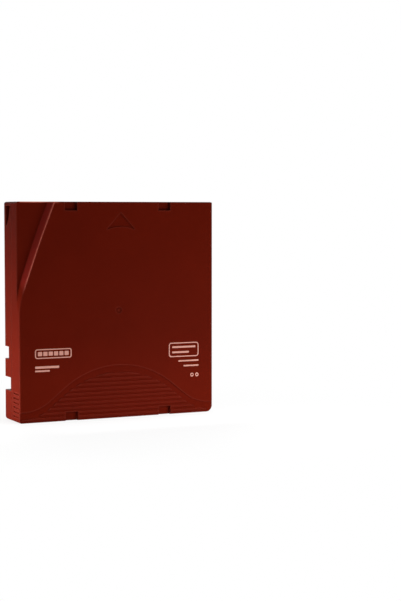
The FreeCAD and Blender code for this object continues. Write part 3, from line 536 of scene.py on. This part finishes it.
class CARTRIDGE_OT_dress_screws(bpy.types.Operator):
    """Give the case screws their plated steel"""
    bl_idname = "cartridge.dress_screws"
    bl_label = "Dress Case Screws"

    def execute(self, context):
        metal = context.scene.cartridge_metal
        screw_steel = drawn_steel("screw_steel", halved(metal.steel_colour), metal.line_spacing, 0.42)
        wear(("case_screws",), screw_steel)
        return {"FINISHED"}


# ------------------------------------------------------------------ operators: print
def rounded_loop(x0, x1, z0, z1, radius):
    """Corner points of a rounded rectangle, in order."""
    radius = min(radius, (x1 - x0) / 2, (z1 - z0) / 2)
    points = []
    for centre_x, centre_z, start in ((x1 - radius, z1 - radius, 0), (x0 + radius, z1 - radius, 90),
                                      (x0 + radius, z0 + radius, 180), (x1 - radius, z0 + radius, 270)):
        for step in range(CORNER_STEPS + 1):
            turn = math.radians(start + 90 * step / CORNER_STEPS)
            points.append((centre_x + radius * math.cos(turn), centre_z + radius * math.sin(turn)))
    return points


def lay_rows(sheet, points, level, ink):
    """Back and front vertices of a printed outline."""
    back = [sheet.verts.new((x, level, z)) for x, z in points]
    front = [sheet.verts.new((x, level - ink.ink_thickness, z)) for x, z in points]
    return back, front


def solid_field(sheet, x0, x1, z0, z1, level, ink, radius=None):
    """One filled field with rounded corners."""
    radius = ink.corner_radius if radius is None else radius
    back, front = lay_rows(sheet, rounded_loop(x0, x1, z0, z1, radius), level, ink)
    sheet.faces.new(front)
    sheet.faces.new(list(reversed(back)))
    for index in range(len(front)):
        after = (index + 1) % len(front)
        sheet.faces.new((front[after], front[index], back[index], back[after]))


def open_field(sheet, x0, x1, z0, z1, level, ink, radius):
    """A line that runs round a rounded rectangle."""
    line = ink.line_width
    outer = lay_rows(sheet, rounded_loop(x0, x1, z0, z1, radius), level, ink)
    inner_loop = rounded_loop(x0 + line, x1 - line, z0 + line, z1 - line, radius - line)
    inner = lay_rows(sheet, inner_loop, level, ink)
    for index in range(len(outer[0])):
        after = (index + 1) % len(outer[0])
        sheet.faces.new((outer[1][index], outer[1][after], inner[1][after], inner[1][index]))
        sheet.faces.new((outer[0][after], outer[0][index], inner[0][index], inner[0][after]))
        sheet.faces.new((outer[1][after], outer[1][index], outer[0][index], outer[0][after]))
        sheet.faces.new((inner[1][index], inner[1][after], inner[0][after], inner[0][index]))


def finished_piece(name, form, material):
    """Turn a drawn form into an object that rides on the case."""
    mesh = bpy.data.meshes.new(name)
    form.to_mesh(mesh)
    form.free()
    mesh.materials.append(material)
    piece = bpy.data.objects.new(name, mesh)
    bpy.context.scene.collection.objects.link(piece)
    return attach(piece, "case")


def print_piece(name, fill, material):
    """One printed object from the fields that fill() draws."""
    sheet = bmesh.new()
    fill(sheet)
    bmesh.ops.recalc_face_normals(sheet, faces=sheet.faces)
    finished_piece(name, sheet, material)


class CARTRIDGE_OT_add_print(bpy.types.Operator):
    """Print plain pale fields on the large face, in place of lettering"""
    bl_idname = "cartridge.add_print"
    bl_label = "Add Printed Fields"

    def execute(self, context):
        ink = context.scene.cartridge_print
        material = printed_ink("print_ink", ink.ink_colour)
        level = CASE_LOW.y - ink.ink_gap
        left = CASE_LOW.x + ink.side_margin
        right = CASE_HIGH.x - ink.side_margin

        def left_fields(sheet):
            """A ruled box with a row of six cells, and two bars below it."""
            cell, pitch = 2.1 * MM, 2.7 * MM
            open_field(sheet, left, left + 18.6 * MM, 30.6 * MM, 35.2 * MM, level, ink, 1.1 * MM)
            for index in range(6):
                x0 = left + 1.5 * MM + pitch * index
                solid_field(sheet, x0, x0 + cell, 31.9 * MM, 33.9 * MM, level, ink)
            for far, near, z0, z1 in LEFT_BARS:
                solid_field(sheet, left + near * MM, left + far * MM, z0 * MM, z1 * MM, level, ink)

        def right_fields(sheet):
            """A ruled box with two bars in it, two bars below it, and two small rings."""
            ring, gap = 1.9 * MM, 0.8 * MM
            open_field(sheet, right - 16.4 * MM, right, 28.4 * MM, 35.6 * MM, level, ink, 1.4 * MM)
            for far, near, z0, z1 in RIGHT_BARS:
                solid_field(sheet, right - far * MM, right - near * MM, z0 * MM, z1 * MM, level, ink)
            for x0 in (right - 2 * ring - gap, right - ring):
                open_field(sheet, x0, x0 + ring, 18.2 * MM, 18.2 * MM + ring, level, ink, ring / 2)

        print_piece("print_fields_left", left_fields, material)
        print_piece("print_fields_right", right_fields, material)
        return {"FINISHED"}


def wire_ring(coil, centre, axis, turn, radius, wire):
    """Corners of the round wire where it crosses one direction of the coil."""
    first, second = [other for other in range(3) if other != axis]
    ring = []
    for side in range(WIRE_SIDES):
        angle = 2 * math.pi * side / WIRE_SIDES
        reach = radius + wire * math.cos(angle)
        corner = centre.copy()
        corner[first] += reach * math.cos(turn)
        corner[second] += reach * math.sin(turn)
        corner[axis] += wire * math.sin(angle)
        ring.append(coil.verts.new(corner))
    return ring


def wound_spring(solid, axis_name, turns, wire, material):
    """Round wire coil in a plain spring's place."""
    axis = "XYZ".index(axis_name)
    low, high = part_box(solid)
    length = high[axis] - low[axis]
    radius = (high.x - low.x) / 2 - wire
    coil = bmesh.new()
    rings = []
    for step in range(turns * COIL_STEPS + 1):
        centre = (low + high) / 2
        centre[axis] = low[axis] + wire + (length - 2 * wire) * step / (turns * COIL_STEPS)
        rings.append(wire_ring(coil, centre, axis, 2 * math.pi * step / COIL_STEPS, radius, wire))
    for before, after in zip(rings, rings[1:]):
        for side in range(WIRE_SIDES):
            following = (side + 1) % WIRE_SIDES
            coil.faces.new((before[side], before[following], after[following], after[side])).smooth = True
    coil.faces.new(rings[0])
    coil.faces.new(rings[-1])
    bmesh.ops.recalc_face_normals(coil, faces=coil.faces)
    piece = finished_piece(solid + "_wire", coil, material)
    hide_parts(solid)
    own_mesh(piece)


# ------------------------------------------------------------------ operators: small pieces
def small_moulding(name, colour, roughness=0.4):
    """Plain moulded plastic with a finer grain than the case, and a faint highlight painted along its edges.
    """
    paler = [channel + (1 - channel) * 0.12 for channel in colour]
    return moulded_plastic(name, colour, paler, roughness, grain_size=0.25 * MM, grain_depth=0.006 * MM,
                           shade_shift=0.05, edge_softness=0.15 * MM, specular=0.45)


class CARTRIDGE_OT_dress_door(bpy.types.Operator):
    """Finish the sliding door and wind its spring"""
    bl_idname = "cartridge.dress_door"
    bl_label = "Dress Door"

    def execute(self, context):
        inner = context.scene.cartridge_inner
        metal = context.scene.cartridge_metal
        wear(("slide_door",), small_moulding("door_plastic", inner.door_colour))
        steel = drawn_steel("door_spring_steel", metal.steel_colour, metal.line_spacing, 0.25)
        wound_spring("door_spring", "Z", metal.door_turns, metal.door_wire, steel)
        return {"FINISHED"}


class CARTRIDGE_OT_dress_switch(bpy.types.Operator):
    """Give the write-protect switch its pale plastic"""
    bl_idname = "cartridge.dress_switch"
    bl_label = "Dress Write-Protect Switch"

    def execute(self, context):
        inner = context.scene.cartridge_inner
        wear(("write_protect_tab",), small_moulding("switch_plastic", inner.switch_colour))
        return {"FINISHED"}


class CARTRIDGE_OT_dress_reel(bpy.types.Operator):
    """Give the hub, the flange, the clamp and the steel plate their finishes"""
    bl_idname = "cartridge.dress_reel"
    bl_label = "Dress Reel"

    def execute(self, context):
        inner = context.scene.cartridge_inner
        metal = context.scene.cartridge_metal
        wear(("reel_hub",), small_moulding("reel_plastic", inner.reel_colour, 0.38))
        wear(("reel_upper_flange",), small_moulding("flange_plastic", inner.reel_colour, 0.22))
        wear(("tape_end_clamp",), small_moulding("clamp_plastic", inner.clip_colour))
        plate_steel = turned_steel("plate_steel", halved(metal.steel_colour), 3 * metal.line_spacing, 0.42)
        wear(("reel_drive_plate",), plate_steel)
        return {"FINISHED"}


class CARTRIDGE_OT_dress_tape(bpy.types.Operator):
    """Give the wound tape and its free leader their dark film"""
    bl_idname = "cartridge.dress_tape"
    bl_label = "Dress Tape"

    def execute(self, context):
        inner = context.scene.cartridge_inner
        wear(("tape_pack", "leader_tape"), wound_film("tape_film", inner.tape_colour, 0.16))
        return {"FINISHED"}


class CARTRIDGE_OT_dress_leader_pin(bpy.types.Operator):
    """Give the leader pin, its clip and its springs their finishes"""
    bl_idname = "cartridge.dress_leader_pin"
    bl_label = "Dress Leader Pin"

    def execute(self, context):
        inner = context.scene.cartridge_inner
        metal = context.scene.cartridge_metal
        wear(("leader_pin",), drawn_steel("pin_steel", metal.steel_colour, metal.line_spacing, 0.16))
        wear(("leader_pin_springs",), drawn_steel("leaf_steel", metal.steel_colour, metal.line_spacing, 0.28))
        wear(("leader_pin_clip",), small_moulding("pin_clip_plastic", inner.clip_colour))
        return {"FINISHED"}


class CARTRIDGE_OT_dress_brake(bpy.types.Operator):
    """Finish the brake button and the release spider, and wind the brake's spring"""
    bl_idname = "cartridge.dress_brake"
    bl_label = "Dress Brake"

    def execute(self, context):
        inner = context.scene.cartridge_inner
        metal = context.scene.cartridge_metal
        wear(("brake_button",), small_moulding("brake_plastic", inner.brake_colour))
        wear(("brake_release_spider",), small_moulding("spider_plastic", inner.clip_colour))
        steel = drawn_steel("brake_spring_steel", metal.steel_colour, metal.line_spacing, 0.25)
        wound_spring("brake_spring", "Y", metal.brake_turns, metal.brake_wire, steel)
        return {"FINISHED"}


class CARTRIDGE_OT_dress_memory(bpy.types.Operator):
    """Give the memory board, its chip and its antenna their finishes"""
    bl_idname = "cartridge.dress_memory"
    bl_label = "Dress Memory Board"

    def execute(self, context):
        inner = context.scene.cartridge_inner
        metal = context.scene.cartridge_metal
        wear(("memory_board",), lacquered_board("board_laminate", inner.lacquer_colour))
        wear(("memory_chip",), small_moulding("chip_plastic", inner.brake_colour, 0.55))
        wear(("memory_antenna",), drawn_steel("copper_track", metal.copper_colour, metal.line_spacing, 0.3))
        return {"FINISHED"}


# ------------------------------------------------------------------ operators: stage
def white_world(stage):
    """Even ambient light, with plain white for what the camera and reflections see."""
    world = bpy.data.worlds.new("studio")
    world.use_nodes = True
    bpy.context.scene.world = world
    nodes = world.node_tree.nodes
    links = world.node_tree.links
    seen = nodes.new("ShaderNodeBackground")
    seen.inputs["Color"].default_value = (1, 1, 1, 1)
    seen.inputs["Strength"].default_value = 1.0
    light = nodes["Background"]
    light.inputs["Color"].default_value = (1, 1, 1, 1)
    light.inputs["Strength"].default_value = stage.ambient
    rays = nodes.new("ShaderNodeLightPath")
    either = nodes.new("ShaderNodeMath")
    either.operation = "MAXIMUM"
    links.new(rays.outputs["Is Camera Ray"], either.inputs[0])
    links.new(rays.outputs["Is Glossy Ray"], either.inputs[1])
    through = nodes.new("ShaderNodeMath")
    through.operation = "MAXIMUM"
    links.new(either.outputs["Value"], through.inputs[0])
    links.new(rays.outputs["Is Transmission Ray"], through.inputs[1])
    mix = nodes.new("ShaderNodeMixShader")
    links.new(through.outputs["Value"], mix.inputs["Fac"])
    links.new(light.outputs["Background"], mix.inputs[1])
    links.new(seen.outputs["Background"], mix.inputs[2])
    links.new(mix.outputs["Shader"], nodes["World Output"].inputs["Surface"])


def pale_floor(stage):
    """Wide floor that keeps the case's shadow and fades to white further out."""
    half = stage.floor_size / 2
    corners = [(-half, -half, 0), (half, -half, 0), (half, half, 0), (-half, half, 0)]
    mesh = bpy.data.meshes.new("floor")
    mesh.from_pydata(corners, [], [(0, 1, 2, 3)])
    floor = bpy.data.objects.new("floor", mesh)
    floor.location = (CASE_MIDDLE.x, CASE_MIDDLE.y, CASE_LOW.z - stage.floor_gap)
    bpy.context.scene.collection.objects.link(floor)
    board = NodeBoard("floor")
    shade = stage.floor_shade
    board.value("Base Color", (shade, shade, shade, 1))
    board.value("Roughness", 0.9)
    board.value("Specular IOR Level", 0.1)
    length = board.add("ShaderNodeVectorMath", operation="LENGTH")
    board.wire(board.place, length.inputs[0])
    fade = board.add("ShaderNodeMapRange", interpolation_type="SMOOTHSTEP")
    fade.inputs["From Min"].default_value = stage.floor_clear * 0.35
    fade.inputs["From Max"].default_value = stage.floor_clear
    fade.inputs["To Min"].default_value = stage.floor_white
    board.wire(length.outputs["Value"], fade.inputs["Value"])
    rays = board.add("ShaderNodeLightPath")
    seen = board.times(rays.outputs["Is Camera Ray"], fade.outputs["Result"])
    white = board.add("ShaderNodeEmission")
    white.inputs["Strength"].default_value = 1.0
    mix = board.add("ShaderNodeMixShader")
    board.wire(seen, mix.inputs["Fac"])
    board.wire(board.surface.outputs["BSDF"], mix.inputs[1])
    board.wire(white.outputs["Emission"], mix.inputs[2])
    board.wire(mix.outputs["Shader"], board.nodes["Material Output"].inputs["Surface"])
    mesh.materials.append(board.material)


def soft_lamp(name, power, width, height, place, aim=(0, 0, 0), spread=math.pi):
    """Rectangular lamp; its place and the point it faces are measured from the middle of the case."""
    lamp = bpy.data.lights.new(name, "AREA")
    lamp.shape = "RECTANGLE"
    lamp.size = width
    lamp.size_y = height
    lamp.energy = power
    lamp.spread = spread
    holder = bpy.data.objects.new(name, lamp)
    holder.location = CASE_MIDDLE + Vector(place)
    holder.rotation_euler = (Vector(aim) - Vector(place)).to_track_quat("-Z", "Y").to_euler()
    holder.visible_camera = False
    bpy.context.scene.collection.objects.link(holder)


def studio_lamps(stage):
    """Soft light from above, right and behind, and small low lamps that brighten the case near the floor."""
    low_left = CASE_LOW - CASE_MIDDLE
    soft_lamp("top_lamp", stage.top_power, width=0.5, height=0.4, place=(0.24, -0.16, 0.62))
    soft_lamp("side_lamp", stage.side_power, width=0.10, height=0.02, place=(-0.13, 0.01, -0.041),
              aim=low_left + Vector((0, 0.01, 0.01)))
    soft_lamp("fill_lamp", stage.fill_power, width=0.15, height=0.03, place=(0.11, -0.16, -0.030),
              aim=(0.04, 0, -0.04))
    soft_lamp("low_lamp", stage.low_power, width=0.13, height=0.01, place=(0.02, -0.060, -0.028),
              aim=(0.02, -0.01, -0.056), spread=math.radians(100))
    soft_lamp("right_lamp", stage.right_power, width=0.4, height=0.3, place=(0.6, 0.12, 0.2))
    soft_lamp("back_lamp", stage.back_power, width=0.4, height=0.3, place=(0.1, 0.7, 0.2))


def aimed_camera(stage):
    """Camera that looks slightly down at the case from its left."""
    turn = stage.camera_azimuth
    tilt = stage.camera_elevation
    forward = Vector((math.sin(turn) * math.cos(tilt), math.cos(turn) * math.cos(tilt), -math.sin(tilt)))
    aim = CASE_MIDDLE + Vector(stage.aim_offset)
    camera = bpy.data.cameras.new("camera")
    camera.lens = stage.lens
    camera.sensor_width = 36.0
    camera.clip_start = 0.01
    holder = bpy.data.objects.new("camera", camera)
    holder.location = aim - forward * stage.camera_distance
    holder.rotation_euler = (math.pi / 2 - tilt, 0, -turn)
    bpy.context.scene.collection.objects.link(holder)
    bpy.context.scene.camera = holder


class CARTRIDGE_OT_build_stage(bpy.types.Operator):
    """Set up the floor, the soft lamps, the white surroundings and the camera"""
    bl_idname = "cartridge.build_stage"
    bl_label = "Build Stage"

    def execute(self, context):
        stage = context.scene.cartridge_stage
        context.scene.view_settings.view_transform = "Standard"
        white_world(stage)
        pale_floor(stage)
        studio_lamps(stage)
        aimed_camera(stage)
        return {"FINISHED"}


# ------------------------------------------------------------------ panel and registration
class CARTRIDGE_PT_tools(bpy.types.Panel):
    """Lists the cartridge's pieces and settings"""
    bl_idname = "CARTRIDGE_PT_tools"
    bl_label = "Data Tape Cartridge"
    bl_space_type = "VIEW_3D"
    bl_region_type = "UI"
    bl_category = "Cartridge"

    def draw(self, context):
        layout = self.layout
        for operator in OPERATORS:
            layout.operator(operator.bl_idname)
        for group in SETTINGS:
            settings = getattr(context.scene, group)
            box = layout.box()
            for key in settings.__annotations__:
                box.prop(settings, key)


OPERATORS = (
    CARTRIDGE_OT_dress_shells, CARTRIDGE_OT_add_print, CARTRIDGE_OT_dress_screws, CARTRIDGE_OT_dress_door,
    CARTRIDGE_OT_dress_switch, CARTRIDGE_OT_dress_reel, CARTRIDGE_OT_dress_tape,
    CARTRIDGE_OT_dress_leader_pin, CARTRIDGE_OT_dress_brake, CARTRIDGE_OT_dress_memory,
    CARTRIDGE_OT_build_stage,
)

SETTINGS = {
    "cartridge_shell": CartridgeShellSettings,
    "cartridge_print": CartridgePrintSettings,
    "cartridge_inner": CartridgeInnerSettings,
    "cartridge_metal": CartridgeMetalSettings,
    "cartridge_stage": CartridgeStageSettings,
}


def register():
    """Register the settings first, so that the operators find them in the scene."""
    for group in SETTINGS.values():
        bpy.utils.register_class(group)
    for name, group in SETTINGS.items():
        setattr(bpy.types.Scene, name, PointerProperty(type=group))
    for operator in OPERATORS:
        bpy.utils.register_class(operator)
    bpy.utils.register_class(CARTRIDGE_PT_tools)


def unregister():
    """Take everything away again, in the opposite order."""
    bpy.utils.unregister_class(CARTRIDGE_PT_tools)
    for operator in reversed(OPERATORS):
        bpy.utils.unregister_class(operator)
    for name in SETTINGS:
        delattr(bpy.types.Scene, name)
    for group in SETTINGS.values():
        bpy.utils.unregister_class(group)


def main():
    """Dress the cartridge and build its stage."""
    register()
    bpy.ops.cartridge.dress_shells()
    bpy.ops.cartridge.add_print()
    bpy.ops.cartridge.dress_screws()
    bpy.ops.cartridge.dress_door()
    bpy.ops.cartridge.dress_switch()
    bpy.ops.cartridge.dress_reel()
    bpy.ops.cartridge.dress_tape()
    bpy.ops.cartridge.dress_leader_pin()
    bpy.ops.cartridge.dress_brake()
    bpy.ops.cartridge.dress_memory()
    bpy.ops.cartridge.build_stage()


if __name__ == "__main__":
    main()
